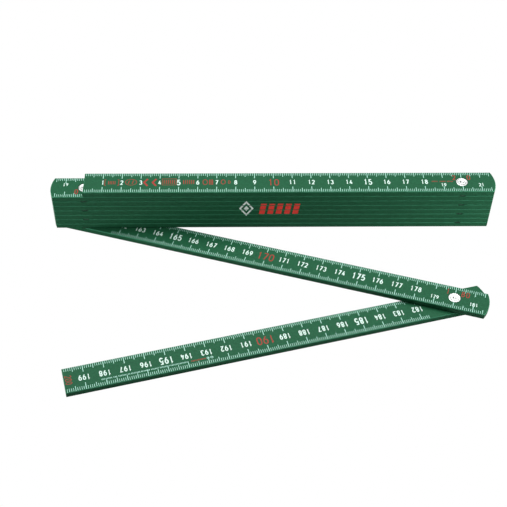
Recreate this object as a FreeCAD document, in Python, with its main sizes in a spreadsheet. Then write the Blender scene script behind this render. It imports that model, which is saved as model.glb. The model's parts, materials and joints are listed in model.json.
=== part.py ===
import FreeCAD, Part
import math
import os

import Sketcher

# Folding rule: ten leaves joined end to end by nine riveted spring hinges.
# Millimetres, +Z up.  The origin lies on the surface the rule rests on, under the middle of its outline.
# Leaf 1 is on top and carries the zero end; every following leaf lies directly below the one before it.

DIMENSIONS = [
    ("leaf_count", 10, "number of leaves"),
    ("hinge_pitch", 200, "distance between the rivets of one leaf"),
    ("leaf_width", 15, "width of a leaf"),
    ("leaf_thickness", 3.2, "thickness of a leaf"),
    ("leaf_gap", 0.05, "running gap between two stacked leaves"),
    ("end_radius", 17.8, "radius of a rounded leaf end, about its rivet"),
    ("edge_round", 0.4, "rounding of the leaf's outer edges"),
    ("bore_radius", 1.55, "rivet bore in leaves, discs and washer"),
    ("recess_radius", 7.58, "disc recess, a little wider than the leaf"),
    ("recess_depth", 0.4, "depth of the disc recess in each leaf"),
    ("seat_radius", 3.25, "counterbore for rivet head or formed tail"),
    ("head_seat_depth", 0.8, "depth of the counterbore for the head"),
    ("tail_seat_depth", 1.0, "depth of the counterbore for the tail"),
    ("stud_radius", 0.6, "moulded stud that keys a disc to its leaf"),
    ("stud_offset", 3.0, "distance of a stud from the rivet axis"),
    ("stud_clearance", 0.05, "radial clearance between stud and disc"),
    ("disc_radius", 7.3, "radius of the spring and detent discs"),
    ("disc_thickness", 0.3, "thickness of the spring and detent discs"),
    ("bump_height", 0.2, "height of a detent bump on the spring disc"),
    ("bump_radius", 0.8, "base radius of a detent bump"),
    ("bump_offset", 5.0, "distance of bumps and notches from the axis"),
    ("notch_radius", 0.95, "radius of a detent notch"),
    ("bump_count", 2, "detent bumps on a spring disc"),
    ("notch_count", 4, "detent notches in a detent disc"),
    ("shank_radius", 1.5, "radius of the rivet shank"),
    ("head_radius", 3.2, "radius of the rivet head"),
    ("head_edge", 0.15, "bevel around the rivet head"),
    ("groove_outer", 2.1, "outer radius of the ring pressed into the rivet head"),
    ("groove_inner", 1.5, "inner radius of the ring pressed into the rivet head"),
    ("groove_depth", 0.12, "depth of the ring pressed into the rivet head"),
    ("dimple_radius", 0.55, "radius of the dimple in the rivet head"),
    ("dimple_depth", 0.35, "depth of the dimple in the rivet head"),
    ("tail_radius", 2.6, "radius of the formed rivet tail"),
    ("tail_edge", 0.2, "bevel around the formed tail"),
    ("tail_sink", 0.1, "how far the tail stays inside the leaf"),
    ("washer_radius", 3.0, "outer radius of the washer"),
    ("washer_thickness", 0.3, "thickness of the washer"),
    ("washer_clearance", 0.05, "running gap between washer and leaf"),
    ("opening_8", 17.1, "degrees that hinge 8 stands open"),
    ("opening_9", 31.25, "degrees that hinge 9 stands open"),
]

# Levels on a rivet, measured from the underside of the upper leaf.
HEAD_TOP = "dims.leaf_thickness"
HEAD_SEAT = "dims.leaf_thickness - dims.head_seat_depth"
LOWER_UNDERSIDE = "-dims.leaf_gap - dims.leaf_thickness"
TAIL_SEAT = LOWER_UNDERSIDE + " + dims.tail_seat_depth"
WASHER_TOP = TAIL_SEAT + " - dims.washer_clearance"
TAIL_TOP = WASHER_TOP + " - dims.washer_thickness"
TAIL_BOTTOM = LOWER_UNDERSIDE + " + dims.tail_sink"

doc = FreeCAD.newDocument("folding_rule")
dims = doc.addObject("Spreadsheet::Sheet", "dims")
for row, (alias, number, meaning) in enumerate(DIMENSIONS, start=1):
    dims.set(f"A{row}", alias)
    dims.set(f"B{row}", str(number))
    dims.set(f"C{row}", meaning)
    dims.setAlias(f"B{row}", alias)
doc.recompute()


def value(expression):
    """The number that an expression on the sheet gives."""
    return float(dims.evalExpression(expression))


# ---------------------------------------------------------------- sketch helpers


def new_body(label):
    body = doc.addObject("PartDesign::Body", label)
    body.Label = label
    return body


def new_sketch(body, name, role="XY_Plane", level="0"):
    """A sketch on one of the body's origin planes, raised along its normal to a level."""
    sketch = body.newObject("Sketcher::SketchObject", name)
    plane = next(feature for feature in body.Origin.OriginFeatures if feature.Role == role)
    sketch.AttachmentSupport = [(plane, "")]
    sketch.MapMode = "FlatFace"
    sketch.setExpression("AttachmentOffset.Base.z", level)
    return sketch


def bind(sketch, kind, first, second, expression):
    """A horizontal or vertical distance between two points, driven by the sheet."""
    number = value(expression)
    if number < 0:
        first, second, expression = second, first, f"-({expression})"
    index = sketch.addConstraint(Sketcher.Constraint(kind, *first, *second, abs(number)))
    sketch.setExpression(f"Constraints[{index}]", expression)


def bind_point(sketch, point, x_expression, y_expression):
    """Fixes a point of a sketch at a place given by the sheet; None is on the axis."""
    origin, vertical_axis, horizontal_axis = (-1, 1), -2, -1
    if x_expression is None:
        sketch.addConstraint(Sketcher.Constraint("PointOnObject", *point, vertical_axis))
    else:
        bind(sketch, "DistanceX", origin, point, x_expression)
    if y_expression is None:
        sketch.addConstraint(Sketcher.Constraint("PointOnObject", *point, horizontal_axis))
    else:
        bind(sketch, "DistanceY", origin, point, y_expression)


def place(x_expression, y_expression):
    x = 0 if x_expression is None else value(x_expression)
    y = 0 if y_expression is None else value(y_expression)
    return FreeCAD.Vector(x, y, 0)


def add_circle(sketch, x_expression, y_expression, radius):
    centre = place(x_expression, y_expression)
    index = sketch.addGeometry(Part.Circle(centre, FreeCAD.Vector(0, 0, 1), value(radius)))
    number = sketch.addConstraint(Sketcher.Constraint("Radius", index, value(radius)))
    sketch.setExpression(f"Constraints[{number}]", radius)
    bind_point(sketch, (index, 3), x_expression, y_expression)


def add_polygon(sketch, corners):
    """A closed outline of straight lines through corners that the sheet places."""
    places = [place(*corner) for corner in corners]
    first = sketch.GeometryCount
    for start, end in zip(places, places[1:] + places[:1]):
        sketch.addGeometry(Part.LineSegment(start, end))
    for side, corner in enumerate(corners):
        following = first + (side + 1) % len(corners)
        sketch.addConstraint(Sketcher.Constraint("Coincident", first + side, 2, following, 1))
        bind_point(sketch, (first + side, 1), *corner)


# ---------------------------------------------------------------- feature helpers


def pad(body, sketch, name, length):
    feature = body.newObject("PartDesign::Pad", name)
    feature.Profile = sketch
    feature.setExpression("Length", length)
    doc.recompute()
    return feature


def pocket(body, sketch, name, depth, upward=False):
    """Cuts a sketch into the body and makes sure that material was removed."""
    before = body.Shape.Volume
    feature = body.newObject("PartDesign::Pocket", name)
    feature.Profile = sketch
    feature.setExpression("Length", depth)
    feature.Reversed = upward
    doc.recompute()
    if not body.Shape.Volume < before - 1e-6:
        raise RuntimeError(f"{body.Label}: {name} cuts nothing")
    return feature


def revolve(body, sketch, name, axis_name="V_Axis"):
    feature = body.newObject("PartDesign::Revolution", name)
    feature.Profile = sketch
    feature.ReferenceAxis = (sketch, [axis_name])
    feature.Angle = 360
    doc.recompute()
    return feature


def repeat_about_axis(body, feature, name, occurrences):
    pattern = body.newObject("PartDesign::PolarPattern", name)
    pattern.Originals = [feature]
    pattern.Axis = (next(f for f in body.Origin.OriginFeatures if f.Role == "Z_Axis"), [""])
    pattern.Angle = 360
    pattern.setExpression("Occurrences", occurrences)
    body.Tip = pattern
    doc.recompute()
    return pattern


# ---------------------------------------------------------------- leaves


def straight_end(sketch, x_expression):
    """The end of a leaf cut square across its rivet axis."""
    half = value("dims.leaf_width / 2")
    x = place(x_expression, None).x
    index = sketch.addGeometry(Part.LineSegment(FreeCAD.Vector(x, -half, 0), FreeCAD.Vector(x, half, 0)))
    sketch.addConstraint(Sketcher.Constraint("Vertical", index))
    if x_expression is None:
        sketch.addConstraint(Sketcher.Constraint("PointOnObject", index, 1, -2))
    else:
        bind(sketch, "DistanceX", (-1, 1), (index, 1), x_expression)
    return index, 1, 2


def round_end(sketch, x_expression, outward):
    """The rounded end of a leaf, an arc about its rivet axis."""
    radius = value("dims.end_radius")
    half_angle = math.asin(value("dims.leaf_width / 2") / radius)
    middle = 0 if outward > 0 else math.pi
    circle = Part.Circle(place(x_expression, None), FreeCAD.Vector(0, 0, 1), radius)
    index = sketch.addGeometry(Part.ArcOfCircle(circle, middle - half_angle, middle + half_angle))
    number = sketch.addConstraint(Sketcher.Constraint("Radius", index, radius))
    sketch.setExpression(f"Constraints[{number}]", "dims.end_radius")
    bind_point(sketch, (index, 3), x_expression, None)
    return (index, 1, 2) if outward > 0 else (index, 2, 1)


def end_overhang(half):
    """How far the long edges of a leaf run past the rivet axis at a rounded end."""
    return math.sqrt(value("dims.end_radius") ** 2 - half**2)


def leaf_outline(body, near_is_cut, far_is_cut):
    sketch = new_sketch(body, "outline")
    near = straight_end(sketch, None) if near_is_cut else round_end(sketch, None, -1)
    if far_is_cut:
        far = straight_end(sketch, "dims.hinge_pitch")
    else:
        far = round_end(sketch, "dims.hinge_pitch", 1)
    half = value("dims.leaf_width / 2")
    overhang = end_overhang(half)
    near_x = 0 if near_is_cut else -overhang
    far_x = value("dims.hinge_pitch") + (0 if far_is_cut else overhang)
    for side, end_point in ((-1, 1), (1, 2)):
        start = FreeCAD.Vector(near_x, side * half, 0)
        end = FreeCAD.Vector(far_x, side * half, 0)
        edge = sketch.addGeometry(Part.LineSegment(start, end))
        sketch.addConstraint(Sketcher.Constraint("Horizontal", edge))
        sketch.addConstraint(Sketcher.Constraint("Coincident", edge, 1, near[0], near[end_point]))
        sketch.addConstraint(Sketcher.Constraint("Coincident", edge, 2, far[0], far[end_point]))
        bind(sketch, "DistanceY", (-1, 1), (edge, 1), f"{side} * dims.leaf_width / 2")
    return sketch


def round_edges(body, base):
    """Rounds the whole outline of the leaf, on its upper and its lower face."""
    levels = (0, value("dims.leaf_thickness"))
    names = []
    for number, edge in enumerate(base.Shape.Edges, start=1):
        box = edge.BoundBox
        if box.ZLength < 1e-6 and any(abs(box.ZMin - level) < 1e-6 for level in levels):
            names.append(f"Edge{number}")
    feature = body.newObject("PartDesign::Fillet", "rounded_edges")
    feature.Base = (base, names)
    feature.setExpression("Radius", "dims.edge_round")
    doc.recompute()
    return feature


def cut_hinge(body, end, x_expression, leaf_is_upper):
    """Disc recess, rivet bore and counterbore at one end of a leaf.

    The upper leaf of a hinge has its recess underneath and the head's counterbore on top;
    the lower leaf has them the other way round.  Two studs stay standing in the recess.
    """
    top = "dims.leaf_thickness"
    recess_level, seat_level = ("0", top) if leaf_is_upper else (top, "0")
    seat_depth = "dims.head_seat_depth" if leaf_is_upper else "dims.tail_seat_depth"
    recess = new_sketch(body, f"{end}_recess_profile", level=recess_level)
    add_circle(recess, x_expression, None, "dims.recess_radius")
    for side in (-1, 1):
        add_circle(recess, x_expression, f"{side} * dims.stud_offset", "dims.stud_radius")
    pocket(body, recess, f"{end}_disc_recess", "dims.recess_depth", upward=leaf_is_upper)
    bore = new_sketch(body, f"{end}_bore_profile")
    add_circle(bore, x_expression, None, "dims.bore_radius")
    pocket(body, bore, f"{end}_bore", top, upward=True)
    seat = new_sketch(body, f"{end}_seat_profile", level=seat_level)
    add_circle(seat, x_expression, None, "dims.seat_radius")
    pocket(body, seat, f"{end}_counterbore", seat_depth, upward=not leaf_is_upper)


def make_leaf(number, count):
    body = new_body(f"leaf_{number:02d}")
    sketch = leaf_outline(body, near_is_cut=number == 1, far_is_cut=number == count)
    blank = pad(body, sketch, "blank", "dims.leaf_thickness")
    round_edges(body, blank)
    if number > 1:
        cut_hinge(body, "near", None, leaf_is_upper=False)
    if number < count:
        cut_hinge(body, "far", "dims.hinge_pitch", leaf_is_upper=True)
    return body


# ---------------------------------------------------------------- hinge pieces


def make_rivet(number):
    """Flush head with a pressed ring and a dimple, shank, and formed tail in the lower leaf."""
    body = new_body(f"rivet_{number}")
    sketch = new_sketch(body, "half_section", role="XZ_Plane")
    corners = [
        (None, TAIL_BOTTOM),
        ("dims.tail_radius - dims.tail_edge", TAIL_BOTTOM),
        ("dims.tail_radius", TAIL_BOTTOM + " + dims.tail_edge"),
        ("dims.tail_radius", TAIL_TOP),
        ("dims.shank_radius", TAIL_TOP),
        ("dims.shank_radius", HEAD_SEAT),
        ("dims.head_radius", HEAD_SEAT),
        ("dims.head_radius", HEAD_TOP + " - dims.head_edge"),
        ("dims.head_radius - dims.head_edge", HEAD_TOP),
        ("dims.groove_outer", HEAD_TOP),
        ("dims.groove_outer - dims.groove_depth", HEAD_TOP + " - dims.groove_depth"),
        ("dims.groove_inner + dims.groove_depth", HEAD_TOP + " - dims.groove_depth"),
        ("dims.groove_inner", HEAD_TOP),
        ("dims.dimple_radius", HEAD_TOP),
        ("dims.dimple_radius / 2", HEAD_TOP + " - dims.dimple_depth"),
        (None, HEAD_TOP + " - dims.dimple_depth"),
    ]
    add_polygon(sketch, corners)
    revolve(body, sketch, "turned_rivet")
    return body


def disc_profile(body):
    """Outline shared by both discs: rim, rivet bore and the two stud holes."""
    sketch = new_sketch(body, "disc_profile")
    add_circle(sketch, None, None, "dims.disc_radius")
    add_circle(sketch, None, None, "dims.bore_radius")
    for side in (-1, 1):
        centre = f"{side} * dims.stud_offset"
        add_circle(sketch, None, centre, "dims.stud_radius + dims.stud_clearance")
    return sketch


def make_spring_disc(number):
    """Disc in the upper leaf with detent bumps pressed out of its underside."""
    body = new_body(f"spring_disc_{number}")
    pad(body, disc_profile(body), "plate", "dims.disc_thickness")
    sketch = new_sketch(body, "bump_profile", role="XZ_Plane")
    corners = [
        ("dims.bump_offset", None),
        ("dims.bump_offset", "-dims.bump_height"),
        ("dims.bump_offset + dims.bump_radius / 2", "-dims.bump_height"),
        ("dims.bump_offset + dims.bump_radius", None),
    ]
    add_polygon(sketch, corners)
    middle = place("dims.bump_offset", None)
    axis = sketch.addGeometry(Part.LineSegment(middle, middle + FreeCAD.Vector(0, 1, 0)), True)
    sketch.addConstraint(Sketcher.Constraint("Vertical", axis))
    sketch.addConstraint(Sketcher.Constraint("Coincident", axis, 1, 0, 1))
    bump = revolve(body, sketch, "bump", axis_name="Axis0")
    repeat_about_axis(body, bump, "bumps", "dims.bump_count")
    return body


def make_detent_disc(number):
    """Disc in the lower leaf with the notches that the bumps drop into."""
    body = new_body(f"detent_disc_{number}")
    pad(body, disc_profile(body), "plate", "dims.disc_thickness")
    sketch = new_sketch(body, "notch_profile")
    add_circle(sketch, "dims.bump_offset", None, "dims.notch_radius")
    notch = pocket(body, sketch, "notch", "dims.disc_thickness", upward=True)
    repeat_about_axis(body, notch, "notches", "dims.notch_count")
    return body


def make_washer(number):
    body = new_body(f"washer_{number}")
    sketch = new_sketch(body, "ring")
    add_circle(sketch, None, None, "dims.washer_radius")
    add_circle(sketch, None, None, "dims.bore_radius")
    pad(body, sketch, "washer", "dims.washer_thickness")
    return body


# ---------------------------------------------------------------- assembly


def leaf_headings(count):
    """Direction of each leaf, in degrees, from its near rivet to its far rivet.

    A closed hinge turns the next leaf straight back.  The hinges lie at the right and the
    left end in turn, and each one opens towards -Y.
    """
    opening = {8: value("dims.opening_8"), 9: value("dims.opening_9")}
    headings = [0.0]
    for hinge in range(1, count):
        side = 1 if hinge % 2 else -1
        headings.append(headings[-1] + 180 + side * opening.get(hinge, 0.0))
    return headings


def back_corner(half):
    """How far the rounded end of the turned leaf 9 reaches behind the rivets of the stack."""
    turn = math.radians(value("dims.opening_8"))
    return end_overhang(half) * math.sin(turn) + half * math.cos(turn)


def near_rivets(headings):
    """Where the near rivet axis of each leaf crosses the XY plane."""
    pitch = value("dims.hinge_pitch")
    half = value("dims.leaf_width / 2")
    points = [FreeCAD.Vector(0, 0, 0)]
    for heading in headings:
        angle = math.radians(heading)
        points.append(points[-1] + FreeCAD.Vector(math.cos(angle), math.sin(angle), 0) * pitch)
    front = points[-1].y - half * abs(math.cos(math.radians(headings[-1])))
    centre = FreeCAD.Vector(pitch / 2, (front + back_corner(half)) / 2, 0)
    return [point - centre for point in points[:-1]]


def local(x, z):
    return FreeCAD.Placement(FreeCAD.Vector(x, 0, z), FreeCAD.Rotation())


def build_rule():
    count = int(value("dims.leaf_count"))
    pitch = value("dims.hinge_pitch")
    level_step = value("dims.leaf_thickness + dims.leaf_gap")
    spring_level = value("dims.recess_depth - dims.disc_thickness")
    detent_level = value("dims.leaf_thickness - dims.recess_depth")
    headings = leaf_headings(count)
    poses = []
    for index, (heading, point) in enumerate(zip(headings, near_rivets(headings))):
        base = point + FreeCAD.Vector(0, 0, (count - 1 - index) * level_step)
        turn = FreeCAD.Rotation(FreeCAD.Vector(0, 0, 1), heading)
        poses.append(FreeCAD.Placement(base, turn))

    pieces = []
    for index, pose in enumerate(poses):
        leaf = make_leaf(index + 1, count)
        leaf.Placement = pose
        pieces.append(leaf)
    for hinge in range(1, count):
        upper, lower = poses[hinge - 1], poses[hinge]
        hinge_pieces = [
            (make_rivet(hinge), upper * local(pitch, 0)),
            (make_spring_disc(hinge), upper * local(pitch, spring_level)),
            (make_detent_disc(hinge), lower * local(0, detent_level)),
            (make_washer(hinge), upper * local(pitch, value(TAIL_TOP))),
        ]
        for body, pose in hinge_pieces:
            body.Placement = pose
            pieces.append(body)
    return pieces


def check(pieces):
    for item in doc.Objects:
        if "Invalid" in item.State or "Error" in item.State:
            raise RuntimeError(f"{item.Label} did not recompute: {item.State}")
    for piece in pieces:
        shape = piece.Shape
        if shape.isNull() or not shape.isValid() or len(shape.Solids) != 1:
            raise RuntimeError(f"{piece.Label} is not one valid solid")


pieces = build_rule()
doc.recompute()
check(pieces)
os.makedirs("parts", exist_ok=True)
for piece in pieces:
    piece.Shape.exportStep(os.path.join("parts", piece.Label + ".step"))
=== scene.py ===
"""Looks of the folding rule: printed scales and marks, rivets, materials, light and camera.

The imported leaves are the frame. Everything printed on them is a thin closed shape that rides on its leaf.
Lengths in the print and rivet functions are millimetres; MM turns them into metres.
"""

import json
import math
from collections import namedtuple

import bmesh
import bpy
from mathutils import Matrix, Vector


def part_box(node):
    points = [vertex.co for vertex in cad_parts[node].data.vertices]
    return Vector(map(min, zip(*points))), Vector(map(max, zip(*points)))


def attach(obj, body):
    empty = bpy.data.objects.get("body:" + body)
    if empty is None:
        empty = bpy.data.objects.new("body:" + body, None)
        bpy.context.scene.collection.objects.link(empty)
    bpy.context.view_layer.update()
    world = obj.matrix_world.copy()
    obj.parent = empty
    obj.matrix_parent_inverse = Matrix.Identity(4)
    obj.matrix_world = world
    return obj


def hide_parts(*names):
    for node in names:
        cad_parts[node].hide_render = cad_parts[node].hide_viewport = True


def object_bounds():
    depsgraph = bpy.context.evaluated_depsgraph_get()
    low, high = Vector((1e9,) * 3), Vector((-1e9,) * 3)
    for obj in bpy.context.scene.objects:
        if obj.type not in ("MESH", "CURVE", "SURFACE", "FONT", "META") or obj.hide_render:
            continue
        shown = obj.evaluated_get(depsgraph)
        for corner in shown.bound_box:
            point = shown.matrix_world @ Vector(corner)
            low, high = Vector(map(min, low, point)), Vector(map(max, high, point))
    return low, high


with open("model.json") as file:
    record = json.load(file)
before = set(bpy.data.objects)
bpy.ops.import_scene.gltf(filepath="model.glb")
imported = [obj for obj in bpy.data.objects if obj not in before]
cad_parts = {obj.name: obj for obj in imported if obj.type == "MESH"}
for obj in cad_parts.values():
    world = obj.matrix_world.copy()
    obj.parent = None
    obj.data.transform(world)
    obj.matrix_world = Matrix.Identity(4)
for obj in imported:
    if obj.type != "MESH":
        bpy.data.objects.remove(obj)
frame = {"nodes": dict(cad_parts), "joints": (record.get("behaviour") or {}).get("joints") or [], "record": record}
cad_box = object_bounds()

MM = 0.001

# ---------------------------------------------------------------- the printed scale, in millimetres

INK_HEIGHT = 0.012  # how far the print stands out of the face
INK_DEPTH = 0.03  # how far its underside is sunk into the leaf
STROKE_STEP = 0.002  # later strokes of a figure lie this much higher, so that no two tops share a plane
MITRE_LIMIT = 0.42  # least cosine of half the turn at a corner; a sharper corner is cut short

CM = 10
CM_PER_LEAF = 20
PITCH = CM_PER_LEAF * CM  # from rivet to rivet
HALF_WIDTH = 7.5
PRINT_EDGE = 7.15  # ticks start here, where the leaf's edge begins to round
TICK_WIDTH = {"cm": 0.36, "half": 0.3, "mm": 0.25}
TICK_REACH = {"cm": 3.3, "half": 4.4, "mm": 5.3}  # distance of a tick's inner end from the centre line
OVERLAP = 16  # length at a leaf's end that the neighbouring leaf covers when the rule is straight
END_REACH = 15.4  # last tick beyond a rivet, just inside the rounded end

Style = namedtuple("Style", "height stroke width pitch")  # a digit's box, its line and the step to the next
PLAIN = Style(3.45, 0.54, 1.65, 2.05)
FIVES = Style(4.4, 0.66, 2.0, 2.5)  # every fifth number
TENS = Style(5.0, 0.52, 2.5, 3.2)  # every tenth, in red
SMALL = Style(2.5, 0.42, 1.3, 1.5)  # the two beside a rivet
SPLIT = Style(3.7, 0.42, 1.8, 2.45)  # the one at a rivet
TURNED = Style(3.2, 0.3, 1.5, 1.95)  # the one at the rule's end
PLAIN_RISE = 0.1  # the height of each kind of number above the centre line
SMALL_RISE = -2.3
SPLIT_RISE = 3.3
SPLIT_OFFSET = 3.9  # a number at a rivet is parted: its digits stand this far to either side
TURNED_INSET = 2.4  # the turned number at the rule's end stands this far inside it


def arc(cx, cy, rx, ry, start, end, steps=8):
    """Points on an ellipse from one angle to another, in degrees."""
    points = []
    for step in range(steps + 1):
        angle = math.radians(start + (end - start) * step / steps)
        points.append((cx + rx * math.cos(angle), cy + ry * math.sin(angle)))
    return points


def ring(cx, cy, rx, ry, steps=14):
    """Points all round an ellipse."""
    return arc(cx, cy, rx, ry, 0, 360, steps)[:-1]


def turned_half(points):
    """A shape turned by half a turn in its unit box."""
    return [(1 - x, 1 - y) for x, y in points]


SIX_STEM = [(0.76, 1.0), (0.5, 0.88), (0.18, 0.66), (0.03, 0.42)]
SIX_BOWL = ring(0.5, 0.31, 0.5, 0.31)

# Centre lines of the digits in a unit box: (points, closed).
DIGITS = {
    "0": [(arc(0.5, 0.7, 0.5, 0.3, 0, 180) + arc(0.5, 0.3, 0.5, 0.3, 180, 360), True)],
    "1": [([(0.28, 0.8), (0.56, 1.0), (0.56, 0.0)], False)],
    "2": [(arc(0.5, 0.74, 0.5, 0.26, 165, -38) + [(0.04, 0.0), (1.0, 0.0)], False)],
    "3": [
        (arc(0.44, 0.76, 0.44, 0.24, 155, -90, 10), False),
        (arc(0.44, 0.26, 0.54, 0.26, 90, -155, 10), False),
    ],
    "4": [([(0.6, 1.0), (0.0, 0.26), (1.04, 0.26)], False), ([(0.76, 0.56), (0.76, 0.0)], False)],
    "5": [([(0.92, 1.0), (0.14, 1.0), (0.06, 0.55)] + arc(0.44, 0.31, 0.54, 0.31, 118, -150, 12), False)],
    "6": [(SIX_BOWL, True), (SIX_STEM, False)],
    "7": [([(0.0, 1.0), (1.0, 1.0), (0.28, 0.0)], False)],
    "8": [(ring(0.5, 0.76, 0.42, 0.24), True), (ring(0.5, 0.26, 0.5, 0.26), True)],
    "9": [(turned_half(SIX_BOWL), True), (turned_half(SIX_STEM), False)],
}


def finish_mesh(name, vertices, faces):
    """A mesh object with all faces turned outwards."""
    mesh = bpy.data.meshes.new(name)
    mesh.from_pydata([tuple(vertex) for vertex in vertices], [], faces)
    mesh.update()
    fix = bmesh.new()
    fix.from_mesh(mesh)
    bmesh.ops.recalc_face_normals(fix, faces=fix.faces)
    fix.to_mesh(mesh)
    fix.free()
    piece = bpy.data.objects.new(name, mesh)
    bpy.context.scene.collection.objects.link(piece)
    return piece


class Ink:
    """Collects thin closed shapes of one colour and turns them into one mesh."""

    def __init__(self):
        self.vertices = []
        self.faces = []

    def sweep(self, rings, closed=False):
        """A solid through rings of four corners; closed joins its ends."""
        first = len(self.vertices)
        count = len(rings)
        for corners in rings:
            self.vertices += corners
        for span in range(count if closed else count - 1):
            here = first + 4 * span
            there = first + 4 * ((span + 1) % count)
            for a in range(4):
                b = (a + 1) % 4
                self.faces.append((here + a, there + a, there + b, here + b))
        if not closed:
            for end in (first, first + 4 * (count - 1)):
                self.faces.append([end + corner for corner in range(4)])

    def stroke(self, points, width, matrix, closed=False, lift=0.0):
        """A line of constant width along a path on a face, with mitred corners."""
        rings = []
        count = len(points)
        for index, point in enumerate(points):
            before = points[index - 1] if closed or index else None
            after = points[(index + 1) % count] if closed or index < count - 1 else None
            normals = []
            for start, end in ((before, point), (point, after)):
                if start and end:
                    direction = Vector((end[0] - start[0], end[1] - start[1])).normalized()
                    normals.append(Vector((-direction.y, direction.x)))
            middle = sum(normals, Vector((0, 0))).normalized()
            side = middle * width / 2 / max(middle.dot(normals[0]), MITRE_LIMIT)
            left, right = Vector(point) + side, Vector(point) - side
            top, bottom = INK_HEIGHT + lift, -INK_DEPTH
            corners = ((left, top), (right, top), (right, bottom), (left, bottom))
            rings.append([matrix @ (Vector((*place, level)) * MM) for place, level in corners])
        self.sweep(rings, closed)

    def bar(self, x0, x1, y0, y1, matrix):
        """An upright rectangle."""
        middle = (y0 + y1) / 2
        self.stroke([(x0, middle), (x1, middle)], y1 - y0, matrix)

    def row(self, bars, matrix):
        """Equal bars side by side."""
        for index in range(bars.count):
            x = bars.start + index * bars.pitch
            self.bar(x, x + bars.width, bars.low, bars.high, matrix)

    def digit(self, name, x, y, style, matrix):
        """One digit centred on a place."""
        across = style.width - style.stroke
        up = style.height - style.stroke
        for order, (points, closed) in enumerate(DIGITS[name]):
            placed = [(x + (px - 0.5) * across, y + (py - 0.5) * up) for px, py in points]
            self.stroke(placed, style.stroke, matrix, closed, lift=order * STROKE_STEP)

    def number(self, text, x, y, style, matrix):
        """A number centred on a place."""
        first = x - (len(text) - 1) / 2 * style.pitch
        for index, name in enumerate(text):
            self.digit(name, first + index * style.pitch, y, style, matrix)

    def piece(self, name, body, material, slot):
        """The collected shapes as one piece that rides on a body."""
        piece = finish_mesh(name, self.vertices, self.faces)
        piece.data.materials.append(material)
        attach(piece, body)


# ---------------------------------------------------------------- materials

PLASTIC_GREEN = (0.0145, 0.1, 0.0455)
# Painted highlight: the leaves' rounded upper edges lighter, where light from above catches them.
EDGE_HIGHLIGHT_GREEN = (0.062, 0.29, 0.16)
TICK_WHITE = (0.42, 0.76, 0.64)
NUMBER_WHITE = (0.7, 0.9, 0.82)
SCALE_RED = (0.38, 0.036, 0.025)
EDGE_WHITE = (0.9, 0.98, 0.94)
EDGE_RED = (0.95, 0.06, 0.045)
PLATED = (0.6, 0.63, 0.615)
# Greenish steel for the discs: a painted green cast of shade, so that the shaded slots where they show at the
# hinges look dim green.
SLOT_GREEN_STEEL = (0.14, 0.3, 0.21)

# Scales of the noises, in waves per metre
# The first breaks up the painted edge highlight.
EDGE_HIGHLIGHT_BREAKUP_SCALE = 400
MOTTLE_SCALE = 900
MOULD_GRAIN_SCALE = 2600
INK_COVER_SCALE = 3500
PLATED_SCALE = 1500
SLOT_GREEN_STEEL_SCALE = 1100

NOISE_LOW, NOISE_HIGH = 0.35, 0.65  # the part of a noise that a blend runs over


def node_material(name, colour, roughness, metallic=0.0):
    """A Principled material, its nodes and links, ready for detail."""
    material = bpy.data.materials.new(name)
    material.use_nodes = True
    nodes, links = material.node_tree.nodes, material.node_tree.links
    shader = nodes["Principled BSDF"]
    shader.inputs["Base Color"].default_value = (*colour, 1)
    shader.inputs["Roughness"].default_value = roughness
    shader.inputs["Metallic"].default_value = metallic
    return material, nodes, links, shader


def noise(nodes, links, scale, detail):
    """A noise fixed to the object."""
    coordinates = nodes.new("ShaderNodeTexCoord")
    texture = nodes.new("ShaderNodeTexNoise")
    texture.inputs["Scale"].default_value = scale
    texture.inputs["Detail"].default_value = detail
    links.new(coordinates.outputs["Object"], texture.inputs["Vector"])
    return texture.outputs["Fac"]


def ramp(nodes, links, source, *stops):
    """Maps a factor through colours or greys at (position, colour) stops."""
    node = nodes.new("ShaderNodeValToRGB")
    elements = node.color_ramp.elements
    while len(elements) < len(stops):
        elements.new(0.5)
    for element, (position, colour) in zip(elements, stops):
        element.position = position
        element.color = (*colour, 1)
    links.new(source, node.inputs["Fac"])
    return node.outputs["Color"]


def blend(nodes, links, source, low, high):
    """Runs from one colour to another over the middle of a noise."""
    return ramp(nodes, links, source, (NOISE_LOW, low), (NOISE_HIGH, high))


def grey(value):
    return (value, value, value)


def shade(colour, factor):
    return tuple(channel * factor for channel in colour)


def bump(nodes, links, source, shader, distance, strength):
    """Turns a factor into small dents, their depth in metres."""
    node = nodes.new("ShaderNodeBump")
    node.inputs["Distance"].default_value = distance
    node.inputs["Strength"].default_value = strength
    links.new(source, node.inputs["Height"])
    links.new(node.outputs["Normal"], shader.inputs["Normal"])


def rubbed_edges(nodes, links):
    """A mask of the rounded upper edges, for a painted highlight where light from above catches them; uneven
    through noise.
    """
    geometry = nodes.new("ShaderNodeNewGeometry")
    split = nodes.new("ShaderNodeSeparateXYZ")
    links.new(geometry.outputs["Normal"], split.inputs["Vector"])
    # No painted highlight on upright faces (a normal level with the floor) and none on flat ones.
    stops = ((0.02, grey(0)), (0.25, grey(1)), (0.85, grey(1)), (0.98, grey(0)))
    rounded = ramp(nodes, links, split.outputs["Z"], *stops)
    uneven = ramp(nodes, links, noise(nodes, links, EDGE_HIGHLIGHT_BREAKUP_SCALE, detail=3), (0.3, grey(0.6)), (0.7, grey(1)))
    mask = nodes.new("ShaderNodeMath")
    mask.operation = "MULTIPLY"
    links.new(rounded, mask.inputs[0])
    links.new(uneven, mask.inputs[1])
    return mask.outputs["Value"]


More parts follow.
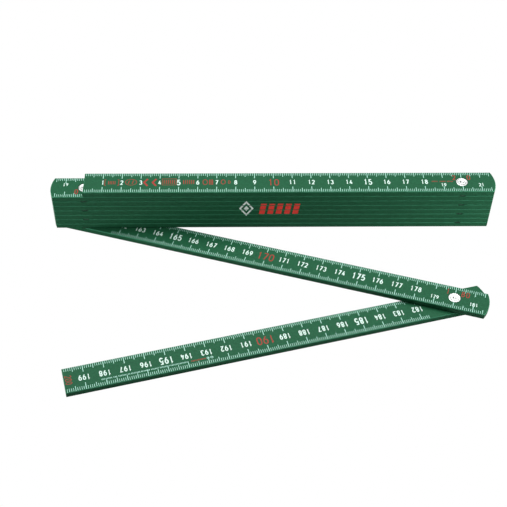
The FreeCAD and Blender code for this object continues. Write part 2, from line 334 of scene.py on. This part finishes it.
def plastic_material():
    """Glass-fibre reinforced green plastic: faint mottling, a fine moulded grain, a painted highlight on the
    rounded upper edges.
    """
    material, nodes, links, shader = node_material("green_plastic", PLASTIC_GREEN, roughness=0.42)
    shader.inputs["Specular IOR Level"].default_value = 0.08
    mottle = noise(nodes, links, MOTTLE_SCALE, detail=4)
    tone = blend(nodes, links, mottle, shade(PLASTIC_GREEN, 0.9), shade(PLASTIC_GREEN, 1.1))
    # Painted highlight mixed onto the rounded upper edges.
    edge_highlight = nodes.new("ShaderNodeMix")
    edge_highlight.data_type = "RGBA"
    links.new(rubbed_edges(nodes, links), edge_highlight.inputs["Factor"])
    links.new(tone, edge_highlight.inputs["A"])
    edge_highlight.inputs["B"].default_value = (*EDGE_HIGHLIGHT_GREEN, 1)
    links.new(edge_highlight.outputs["Result"], shader.inputs["Base Color"])
    grain = noise(nodes, links, MOULD_GRAIN_SCALE, detail=3)
    links.new(blend(nodes, links, grain, grey(0.36), grey(0.5)), shader.inputs["Roughness"])
    bump(nodes, links, grain, shader, distance=0.02 * MM, strength=0.35)
    return material


def ink_material(name, colour):
    """Screen-printed ink with slightly uneven cover."""
    material, nodes, links, shader = node_material(name, colour, roughness=0.5)
    shader.inputs["Specular IOR Level"].default_value = 0.2
    cover = noise(nodes, links, INK_COVER_SCALE, detail=3)
    links.new(blend(nodes, links, cover, shade(colour, 0.86), colour), shader.inputs["Base Color"])
    links.new(blend(nodes, links, cover, grey(0.42), grey(0.58)), shader.inputs["Roughness"])
    bump(nodes, links, cover, shader, distance=0.004 * MM, strength=0.3)
    return material


def metal_material(name, colour, smooth, dull, scale):
    """Finished steel with an uneven sheen; smooth and dull are its least and greatest roughness."""
    material, nodes, links, shader = node_material(name, colour, roughness=smooth, metallic=1.0)
    spots = noise(nodes, links, scale, detail=5)
    links.new(blend(nodes, links, spots, shade(colour, 0.92), colour), shader.inputs["Base Color"])
    links.new(blend(nodes, links, spots, grey(smooth), grey(dull)), shader.inputs["Roughness"])
    bump(nodes, links, spots, shader, distance=0.01 * MM, strength=0.25)
    return material


green_plastic = plastic_material()
tick_ink = ink_material("white_ink_thin", TICK_WHITE)
number_ink = ink_material("white_ink", NUMBER_WHITE)
red_ink = ink_material("red_ink", SCALE_RED)
edge_white_ink = ink_material("white_ink_bold", EDGE_WHITE)
edge_red_ink = ink_material("red_ink_bold", EDGE_RED)
bright_metal = metal_material("rivet_metal", PLATED, smooth=0.32, dull=0.42, scale=PLATED_SCALE)
spring_steel = metal_material("spring_steel", SLOT_GREEN_STEEL, smooth=0.4, dull=0.55, scale=SLOT_GREEN_STEEL_SCALE)

# ---------------------------------------------------------------- where the leaves lie


def leaf_places():
    """For each leaf: near and far rivet axes, and the levels of its two faces."""
    mounts = {mount["name"]: Vector(mount["pos_m"]) for mount in frame["record"]["mounts"]}
    axes = [mounts["zero_end"]]
    axes += [Vector(joint["pos_m"]) for joint in frame["joints"]]
    axes += [mounts["full_end"]]
    places = []
    for number in range(1, len(axes)):
        low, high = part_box(f"leaf_{number:02d}")
        places.append((axes[number - 1].xy, axes[number].xy, low.z, high.z))
    return places


def face_matrix(start, end, level, upper):
    """Frame of a leaf's face: x along the leaf, z out of the face, its origin on the near rivet axis."""
    along = (end - start).normalized().to_3d()
    out = Vector((0, 0, 1 if upper else -1))
    across = out.cross(along)
    matrix = Matrix((along, across, out)).transposed().to_4x4()
    matrix.translation = Vector((start.x, start.y, level))
    return matrix


def leaf_body(leaf):
    return f"leaf_{leaf:02d}_body"


places = leaf_places()
LEAF_COUNT = len(places)

# ---------------------------------------------------------------- scales


def tick_kind(millimetre):
    """Which tick stands at a millimetre."""
    if millimetre % CM == 0:
        return "cm"
    return "half" if millimetre % (CM // 2) == 0 else "mm"


def print_ticks(ink, first, last, matrix):
    """The ticks along both edges of a face, from one millimetre to another."""
    for millimetre in range(first, last + 1):
        kind = tick_kind(millimetre)
        half = TICK_WIDTH[kind] / 2
        for side in (-1, 1):
            low, high = sorted((side * TICK_REACH[kind], side * PRINT_EDGE))
            ink.bar(millimetre - half, millimetre + half, low, high, matrix)


def print_parted(ink, text, x, matrix):
    """The number at a rivet: its first digit before the rivet head, the others after it."""
    ink.digit(text[0], x - SPLIT_OFFSET, SPLIT_RISE, SPLIT, matrix)
    for index, name in enumerate(text[1:]):
        ink.digit(name, x + SPLIT_OFFSET + index * SPLIT.pitch, SPLIT_RISE, SPLIT, matrix)


def print_numbers(white, red, leaf, first, last, rivet, matrix):
    """The centimetre numbers between two places on a face, around the rivet seen there."""
    for place in range(-1, CM_PER_LEAF + 2):
        centimetre = (leaf - 1) * CM_PER_LEAF + place
        x = place * CM
        text = str(centimetre)
        if not first <= x <= last or centimetre == 0:
            continue
        if centimetre == LEAF_COUNT * CM_PER_LEAF:
            shift = Matrix.Translation(Vector((x - TURNED_INSET, 0, 0)) * MM)
            red.number(text, 0, 0, TURNED, matrix @ shift @ Matrix.Rotation(math.pi / 2, 4, "Z"))
        elif x == rivet:
            print_parted(red, text, x, matrix)
        elif rivet is not None and abs(x - rivet) == CM:
            white.number(text, x, SMALL_RISE, SMALL, matrix)
        elif centimetre % 10 == 0:
            red.number(text, x, 0, TENS, matrix)
        elif centimetre % 5 == 0:
            white.number(text, x, PLAIN_RISE, FIVES, matrix)
        else:
            white.number(text, x, PLAIN_RISE, PLAIN, matrix)


def printed_range(leaf, upper):
    """Where a face's scale begins and ends, and the rivet seen on it."""
    if upper:
        first = 1 if leaf == 1 else OVERLAP
        last = PITCH - 1 if leaf == LEAF_COUNT else PITCH + int(END_REACH)
        rivet = None if leaf == LEAF_COUNT else PITCH
    else:
        first = 1 if leaf == 1 else -int(END_REACH)
        last = PITCH - 1 if leaf == LEAF_COUNT else PITCH - OVERLAP
        rivet = None if leaf == 1 else 0
    return first, last, rivet


def print_leaf(leaf, place):
    """The scales on both faces of a leaf: white ticks and numbers, red tens."""
    start, end, bottom, top = place
    ticks, numbers, red = Ink(), Ink(), Ink()
    for upper in (True, False):
        matrix = face_matrix(start, end, top if upper else bottom, upper)
        first, last, rivet = printed_range(leaf, upper)
        print_ticks(ticks, first, last, matrix)
        last_number = PITCH if leaf == LEAF_COUNT else last
        print_numbers(numbers, red, leaf, first, last_number, rivet, matrix)
    ticks.piece(f"scale_ticks_{leaf:02d}", leaf_body(leaf), tick_ink, "white_ink")
    numbers.piece(f"scale_numbers_{leaf:02d}", leaf_body(leaf), number_ink, "white_ink")
    red.piece(f"scale_red_{leaf:02d}", leaf_body(leaf), red_ink, "red_ink")


# ---------------------------------------------------------------- plain marks

# Places are millimetres from the leaf's near rivet axis and from its centre line.
Row = namedtuple("Row", "start count pitch width low high")  # equal bars side by side
Oval = namedtuple("Oval", "x y across up line steps")  # its centre, half sizes, line and points

BRACKETS = ((11.1, 1), (18.4, -1))  # the place of each, and the way its feet point
BRACKET_FOOT = 0.7
BRACKET_LOW, BRACKET_HIGH = -2.0, 2.4
BRACKET_LINE = 0.28
BRACKETED_ROW = Row(12.9, 5, 0.85, 0.3, -1.2, 1.3)

WIDE_OVAL = Oval(24.85, 0.4, 3.0, 2.3, 0.26, 20)
SLASHES = (23.6, 25.7)
SLASH = ((-0.2, -0.8), (0.4, 1.6))  # its foot and head about its place
SLASH_LINE = 0.42

ARROWS = (31.7, 36.2)
ARROW_RISE = 0.2
ARROW_LENGTH, ARROW_SPREAD = 1.9, 2.7
ARROW_LINE = 0.95

FRAME_LEFT, FRAME_RIGHT = 41.3, 48.7
FRAME_LOW, FRAME_HIGH = -1.8, 3.0
FRAME_LINE = 0.2
FRAMED_ROW = Row(42.1, 6, 1.1, 0.4, -0.9, 2.1)

OPEN_ROWS = (Row(52.3, 6, 1.08, 0.36, -1.1, 2.0), Row(66.0, 3, 0.8, 0.4, -1.7, 2.3))
OPEN_OVALS = (
    Oval(63.9, 0.3, 1.2, 2.0, 0.36, 14),
    Oval(73.4, 0.4, 1.1, 1.7, 0.36, 14),
    Oval(76.6, 0.3, 0.5, 1.2, 0.26, 14),
)

MICRO_WIDTH = 0.3  # runs of tiny bars
MICRO_PITCH = 0.66
MICRO_HEIGHT = 0.8
MICRO_GAP = 0.65
RIVET_RUNS = (184.0, 188.2, 192.1)
RIVET_RUN_LENGTH = 3.1
RIVET_RUN_RISE = 0.4

LINE_RISE = 3.7  # the line of runs on the last leaf
LINE_RINGS = (128.2, 130.1)
LINE_RING_RADIUS = 0.55
LINE_RING_LINE = 0.3
RED_RUN_START, RED_RUN_LENGTH = 131.4, 7.2
WHITE_RUNS_START = 139.8
WHITE_RUN_LENGTHS = (4.6, 4.0, 4.3, 3.6, 4.1, 4.2, 5.7, 1.8, 5.2)


def print_brackets(ink, matrix):
    """A pair of square brackets around a row of bars."""
    for x, turn in BRACKETS:
        foot = x + turn * BRACKET_FOOT
        path = [(foot, BRACKET_HIGH), (x, BRACKET_HIGH), (x, BRACKET_LOW), (foot, BRACKET_LOW)]
        ink.stroke(path, BRACKET_LINE, matrix)
    ink.row(BRACKETED_ROW, matrix)


def print_oval(ink, oval, matrix):
    """An open oval."""
    path = ring(oval.x, oval.y, oval.across, oval.up, oval.steps)
    ink.stroke(path, oval.line, matrix, closed=True)


def print_slashed_oval(ink, matrix):
    """A wide oval with two slashes in it."""
    print_oval(ink, WIDE_OVAL, matrix)
    for x in SLASHES:
        ink.stroke([(x + dx, y) for dx, y in SLASH], SLASH_LINE, matrix)


def print_arrows(ink, matrix):
    """Two bold arrow heads that point to the zero end."""
    for x in ARROWS:
        back = x + ARROW_LENGTH
        path = [(back, ARROW_RISE + ARROW_SPREAD), (x, ARROW_RISE), (back, ARROW_RISE - ARROW_SPREAD)]
        ink.stroke(path, ARROW_LINE, matrix)


def print_frame(ink, matrix):
    """A thin frame around a row of bars."""
    low_side = [(FRAME_LEFT, FRAME_LOW), (FRAME_RIGHT, FRAME_LOW)]
    high_side = [(FRAME_RIGHT, FRAME_HIGH), (FRAME_LEFT, FRAME_HIGH)]
    ink.stroke(low_side + high_side, FRAME_LINE, matrix, closed=True)
    ink.row(FRAMED_ROW, matrix)


def print_run(ink, start, length, rise, matrix):
    """A run of tiny bars."""
    count = max(1, round((length - MICRO_WIDTH) / MICRO_PITCH) + 1)
    low, high = rise - MICRO_HEIGHT / 2, rise + MICRO_HEIGHT / 2
    ink.row(Row(start, count, MICRO_PITCH, MICRO_WIDTH, low, high), matrix)


def print_first_leaf_marks(place):
    """Red shapes near the zero end, and three short runs of tiny bars before the first rivet."""
    start, end, _, top = place
    matrix = face_matrix(start, end, top, True)
    red = Ink()
    print_brackets(red, matrix)
    print_slashed_oval(red, matrix)
    print_arrows(red, matrix)
    print_frame(red, matrix)
    for bars in OPEN_ROWS:
        red.row(bars, matrix)
    for oval in OPEN_OVALS:
        print_oval(red, oval, matrix)
    for x in RIVET_RUNS:
        print_run(red, x, RIVET_RUN_LENGTH, RIVET_RUN_RISE, matrix)
    red.piece("mark_red_01", leaf_body(1), red_ink, "red_ink")


def print_last_leaf_marks(place):
    """A line of tiny bars in runs of different length, red first and then white, with two small rings."""
    start, end, _, top = place
    matrix = face_matrix(start, end, top, True)
    white, red = Ink(), Ink()
    for x in LINE_RINGS:
        path = ring(x, LINE_RISE, LINE_RING_RADIUS, LINE_RING_RADIUS)
        white.stroke(path, LINE_RING_LINE, matrix, closed=True)
    print_run(red, RED_RUN_START, RED_RUN_LENGTH, LINE_RISE, matrix)
    cursor = WHITE_RUNS_START
    for length in WHITE_RUN_LENGTHS:
        print_run(white, cursor, length, LINE_RISE, matrix)
        cursor += length + MICRO_GAP
    white.piece(f"mark_white_{LEAF_COUNT}", leaf_body(LEAF_COUNT), tick_ink, "white_ink")
    red.piece(f"mark_red_{LEAF_COUNT}", leaf_body(LEAF_COUNT), red_ink, "red_ink")


# ---------------------------------------------------------------- the mark across the folded leaves' edges

EDGE_ROUND = 0.4  # rounding of a leaf's edges
MARK_MARGIN = 0.06  # the print stops this far from each face of a leaf
MARK_LEVELS = 14  # steps over the height of one leaf
DIAMOND = (85.6, 20.6)  # its centre: along the rule, and above the resting face
OUTER, HOLLOW, CORE = (3.9, 5.4), (2.75, 3.8), (1.35, 1.9)  # half width and half height of each outline
BLUNT = 0.04  # half the width that the diamond's tips keep
BAR_COUNT = 5
BAR_BOTTOM, BAR_TOP = 16.6, 24.0
BAR_START, BAR_PITCH, BAR_BREADTH, BAR_SLANT = 92.3, 4.45, 3.0, 1.1


def edge_inset(height, low, high):
    """How far the rounded edge of a leaf falls back at a height between its two faces."""
    depth = EDGE_ROUND - min(height - low, high - height)
    return EDGE_ROUND - math.sqrt(EDGE_ROUND**2 - max(depth, 0) ** 2)


def print_band(ink, left, right, bottom, top, leaf_low, leaf_high, matrix):
    """The part of a shape that falls on one leaf's edge; left and right give its sides at a height."""
    low, high = max(bottom, leaf_low + MARK_MARGIN), min(top, leaf_high - MARK_MARGIN)
    if high - low < MARK_MARGIN:
        return
    rings = []
    for step in range(MARK_LEVELS + 1):
        height = low + (high - low) * step / MARK_LEVELS
        face = -edge_inset(height, leaf_low, leaf_high)
        x0, x1 = left(height), right(height)
        front, back = face + INK_HEIGHT, face - INK_DEPTH
        corners = ((x0, front), (x1, front), (x1, back), (x0, back))
        rings.append([matrix @ (Vector((x, height, out)) * MM) for x, out in corners])
    ink.sweep(rings)


def diamond_side(side, half_width, half_height):
    """One side of an upright diamond with blunt tips, as a function of the height."""
    middle, centre = DIAMOND
    return lambda height: middle + side * max(half_width * (1 - abs(height - centre) / half_height), BLUNT)


def slanted_side(x):
    """One side of a slanted bar as a function of the height."""
    return lambda height: x + BAR_SLANT * (height - BAR_BOTTOM) / (BAR_TOP - BAR_BOTTOM)


def print_diamond(ink, low, high, matrix):
    """The part of an outlined diamond with a full one in its middle that falls on one leaf's edge."""
    centre = DIAMOND[1]
    hollow_low, hollow_high = centre - HOLLOW[1], centre + HOLLOW[1]
    left, right = diamond_side(-1, *OUTER), diamond_side(1, *OUTER)
    bands = (
        (left, right, centre - OUTER[1], hollow_low),
        (left, right, hollow_high, centre + OUTER[1]),
        (left, diamond_side(-1, *HOLLOW), hollow_low, hollow_high),
        (diamond_side(1, *HOLLOW), right, hollow_low, hollow_high),
        (diamond_side(-1, *CORE), diamond_side(1, *CORE), centre - CORE[1], centre + CORE[1]),
    )
    for band in bands:
        print_band(ink, *band, low, high, matrix)


def print_bars(ink, low, high, matrix):
    """The part of the slanted bars that falls on one leaf's edge."""
    for index in range(BAR_COUNT):
        x = BAR_START + index * BAR_PITCH
        sides = slanted_side(x), slanted_side(x + BAR_BREADTH)
        print_band(ink, *sides, BAR_BOTTOM, BAR_TOP, low, high, matrix)


def print_edge_mark(leaf, place, matrix):
    """A white outlined diamond and red slanted bars, as far as they fall on one folded leaf."""
    low, high = place[2] / MM, place[3] / MM
    white, red = Ink(), Ink()
    print_diamond(white, low, high, matrix)
    print_bars(red, low, high, matrix)
    if white.faces:
        white.piece(f"mark_white_{leaf:02d}", leaf_body(leaf), edge_white_ink, "white_ink")
    if red.faces:
        red.piece(f"mark_red_edge_{leaf:02d}", leaf_body(leaf), edge_red_ink, "red_ink")


def edge_matrix():
    """Frame of the folded stack's front: x along it from the first rivet, y up, z out of it."""
    start = places[0][0]
    matrix = Matrix(((1, 0, 0), (0, 0, 1), (0, -1, 0))).transposed().to_4x4()
    matrix.translation = Vector((start.x, start.y - HALF_WIDTH * MM, 0))
    return matrix


for index, place in enumerate(places):
    print_leaf(index + 1, place)
    print_edge_mark(index + 1, place, edge_matrix())
print_first_leaf_marks(places[0])
print_last_leaf_marks(places[-1])

# ---------------------------------------------------------------- rivets

RIVET_SEGMENTS = 56
HEAD_RADIUS = 3.2
HEAD_HEIGHT = 0.8
HEAD_ROUND = 0.35
TAIL_RADIUS = 2.6
TAIL_HEIGHT = 0.9
TAIL_ROUND = 0.3
SHANK_RADIUS = 1.5
SHARP_ANGLE = 38  # edges bent more than this, in degrees, stay sharp

# The middle of the head: radius, and depth under its highest point
DIMPLE = ((0.0, 0.5), (0.3, 0.46), (0.62, 0.3), (0.86, 0.1))
FLAT = ((1.0, 0.02), (1.45, 0.02))
GROOVE = ((1.56, 0.05), (1.8, 0.07), (2.04, 0.05), (2.18, 0.02))
LIP_RADIUS, LIP_WIDTH, LIP_DEPTH = 2.45, 0.29, 0.1  # the raised lip outside the groove


def rivet_profile(low, high):
    """Half section from the middle of the head to the middle of the formed tail: (radius, height)."""
    middle = [(radius, high - depth) for radius, depth in DIMPLE + FLAT + GROOVE]
    lip = arc(LIP_RADIUS, high - LIP_DEPTH, LIP_WIDTH, LIP_DEPTH, 160, 90, 3)
    rim = arc(HEAD_RADIUS - HEAD_ROUND, high - HEAD_ROUND, HEAD_ROUND, HEAD_ROUND, 90, 0, 6)
    head_under, tail_top = high - HEAD_HEIGHT, low + TAIL_HEIGHT
    shank = [(HEAD_RADIUS, head_under), (SHANK_RADIUS, head_under), (SHANK_RADIUS, tail_top)]
    tail = [(TAIL_RADIUS, tail_top)]
    tail += arc(TAIL_RADIUS - TAIL_ROUND, low + TAIL_ROUND, TAIL_ROUND, TAIL_ROUND, 0, -90, 5)
    return middle + lip + rim + shank + tail + [(0.0, low)]


def lathe(name, profile, axis):
    """A closed turned piece about an upright axis."""
    vertices, faces = [], []
    middle = profile[1:-1]
    for radius, height in middle:
        for segment in range(RIVET_SEGMENTS):
            angle = 2 * math.pi * segment / RIVET_SEGMENTS
            out = Vector((radius * math.cos(angle), radius * math.sin(angle))) * MM
            vertices.append((axis.x + out.x, axis.y + out.y, height * MM))
    for level in range(len(middle) - 1):
        for segment in range(RIVET_SEGMENTS):
            here, there = level * RIVET_SEGMENTS, (level + 1) * RIVET_SEGMENTS
            following = (segment + 1) % RIVET_SEGMENTS
            faces.append((here + segment, here + following, there + following, there + segment))
    last = (len(middle) - 1) * RIVET_SEGMENTS
    for ring_start, (_, height) in ((0, profile[0]), (last, profile[-1])):
        tip = len(vertices)
        vertices.append((axis.x, axis.y, height * MM))
        for segment in range(RIVET_SEGMENTS):
            following = (segment + 1) % RIVET_SEGMENTS
            faces.append((ring_start + segment, ring_start + following, tip))
    piece = finish_mesh(name, vertices, faces)
    for face in piece.data.polygons:
        face.use_smooth = True
    piece.data.set_sharp_from_angle(angle=math.radians(SHARP_ANGLE))
    return piece


def make_rivet(number):
    """A turned rivet with a rounded rim, a pressed ring and a dimple in its flush head."""
    node = f"rivet_{number}"
    low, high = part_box(node)
    axis = (Vector(low) + Vector(high)) / 2
    rivet = lathe(f"turned_rivet_{number}", rivet_profile(low[2] / MM, high[2] / MM), axis)
    rivet.data.materials.append(bright_metal)
    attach(rivet, leaf_body(number))
    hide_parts(node)


for number in range(1, LEAF_COUNT):
    make_rivet(number)

# ---------------------------------------------------------------- carried-over nodes

NODE_MATERIALS = {
    "leaf": green_plastic,
    "rivet": bright_metal,
    "washer": bright_metal,
    "spring_disc": spring_steel,
    "detent_disc": spring_steel,
}
for name, node in frame["nodes"].items():
    family = next(prefix for prefix in NODE_MATERIALS if name.startswith(prefix))
    for slot in node.material_slots:
        slot.material = NODE_MATERIALS[family]

# ---------------------------------------------------------------- floor, light, camera; lengths in metres

FLOOR_REACH = 3.0
FLOOR_GAP = 0.2 * MM  # the floor lies this far under the rule
FLOOR_GREY = 0.54
WORLD_STRENGTH = 0.1

Light = namedtuple("Light", "name place target size power spread")  # spread in degrees
LIGHTS = (
    Light("overhead", (0, 0.27, 1.0), (0, 0, 0), (1.0, 0.8), 15.4, 180),
    Light("rear_panel", (0.25, 1.15, 0.95), (0, 0, 0), (1.4, 0.9), 2.6, 180),
    Light("right_strip", (0.34, -0.03, 0.016), (0.1, 0.075, 0.016), (0.1, 0.03), 0.09, 50),
    Light("left_strip", (-0.34, -0.03, 0.016), (-0.11, 0.075, 0.016), (0.1, 0.03), 0.04, 50),
)

ELEVATION, AZIMUTH, ROLL = 46.075, -1.8932, 1.1148  # the camera's angles, in degrees
DISTANCE = 0.5496254
SENSOR_MM, LENS_MM = 36.0, 75.9198
AIM = Vector((0, -40, 15)) * MM  # from the middle of the folded leaves' rivet line
AIM_RIGHT, AIM_UP = -11.194 * MM, 3.1165 * MM  # the aim's shift in the picture
CLIP_START = 0.01


def show_plain(nodes, links, shader, plain, output):
    """Gives light rays one shader and the camera's direct sight a plain one."""
    sight = nodes.new("ShaderNodeLightPath")
    choice = nodes.new("ShaderNodeMixShader")
    links.new(sight.outputs["Is Camera Ray"], choice.inputs["Fac"])
    links.new(shader, choice.inputs[1])
    links.new(plain, choice.inputs[2])
    links.new(choice.outputs["Shader"], nodes[output].inputs["Surface"])


def make_floor():
    """A floor that looks plain white and throws back only part of the light."""
    mesh = bpy.data.meshes.new("floor")
    build = bmesh.new()
    bmesh.ops.create_grid(build, x_segments=1, y_segments=1, size=FLOOR_REACH)
    build.to_mesh(mesh)
    build.free()
    floor = bpy.data.objects.new("floor", mesh)
    floor.location.z = cad_box[0][2] - FLOOR_GAP
    bpy.context.scene.collection.objects.link(floor)
    material, nodes, links, shader = node_material("pale_floor", grey(FLOOR_GREY), roughness=0.9)
    shader.inputs["Specular IOR Level"].default_value = 0.0
    white = nodes.new("ShaderNodeEmission")
    white.inputs["Strength"].default_value = 1.0
    show_plain(nodes, links, shader.outputs["BSDF"], white.outputs["Emission"], "Material Output")
    floor.data.materials.append(material)


def make_light(light):
    """A rectangular area light that faces its target."""
    data = bpy.data.lights.new(light.name, "AREA")
    data.shape = "RECTANGLE"
    data.size, data.size_y = light.size
    data.energy = light.power
    data.spread = math.radians(light.spread)
    lamp = bpy.data.objects.new(light.name, data)
    lamp.location = light.place
    facing = Vector(light.target) - Vector(light.place)
    lamp.rotation_euler = facing.to_track_quat("-Z", "Y").to_euler()
    bpy.context.scene.collection.objects.link(lamp)


def make_world():
    """Weak light from all round, in front of a plain white background."""
    world = bpy.data.worlds.new("studio")
    bpy.context.scene.world = world
    world.use_nodes = True
    nodes, links = world.node_tree.nodes, world.node_tree.links
    dim = nodes["Background"]
    white = nodes.new("ShaderNodeBackground")
    for background, strength in ((dim, WORLD_STRENGTH), (white, 1.0)):
        background.inputs["Color"].default_value = (1, 1, 1, 1)
        background.inputs["Strength"].default_value = strength
    show_plain(nodes, links, dim.outputs["Background"], white.outputs["Background"], "World Output")


def make_camera():
    """A view from in front and above."""
    elevation, azimuth, roll = (math.radians(angle) for angle in (ELEVATION, AZIMUTH, ROLL))
    level = math.cos(elevation)
    back = Vector((math.sin(azimuth) * level, -math.cos(azimuth) * level, math.sin(elevation)))
    right = Vector((math.cos(azimuth), math.sin(azimuth), 0))
    up = back.cross(right)
    rivet_line = Vector((0, places[0][0].y, 0))
    target = rivet_line + AIM + right * AIM_RIGHT + up * AIM_UP
    camera_right = math.cos(roll) * right + math.sin(roll) * up
    camera_up = -math.sin(roll) * right + math.cos(roll) * up
    data = bpy.data.cameras.new("camera")
    data.sensor_width = SENSOR_MM
    data.lens = LENS_MM
    data.clip_start = CLIP_START
    camera = bpy.data.objects.new("camera", data)
    matrix = Matrix((camera_right, camera_up, back)).transposed().to_4x4()
    matrix.translation = target + back * DISTANCE
    camera.matrix_world = matrix
    bpy.context.scene.collection.objects.link(camera)
    bpy.context.scene.camera = camera


make_floor()
make_world()
for light in LIGHTS:
    make_light(light)
make_camera()
bpy.context.scene.view_settings.view_transform = "Standard"
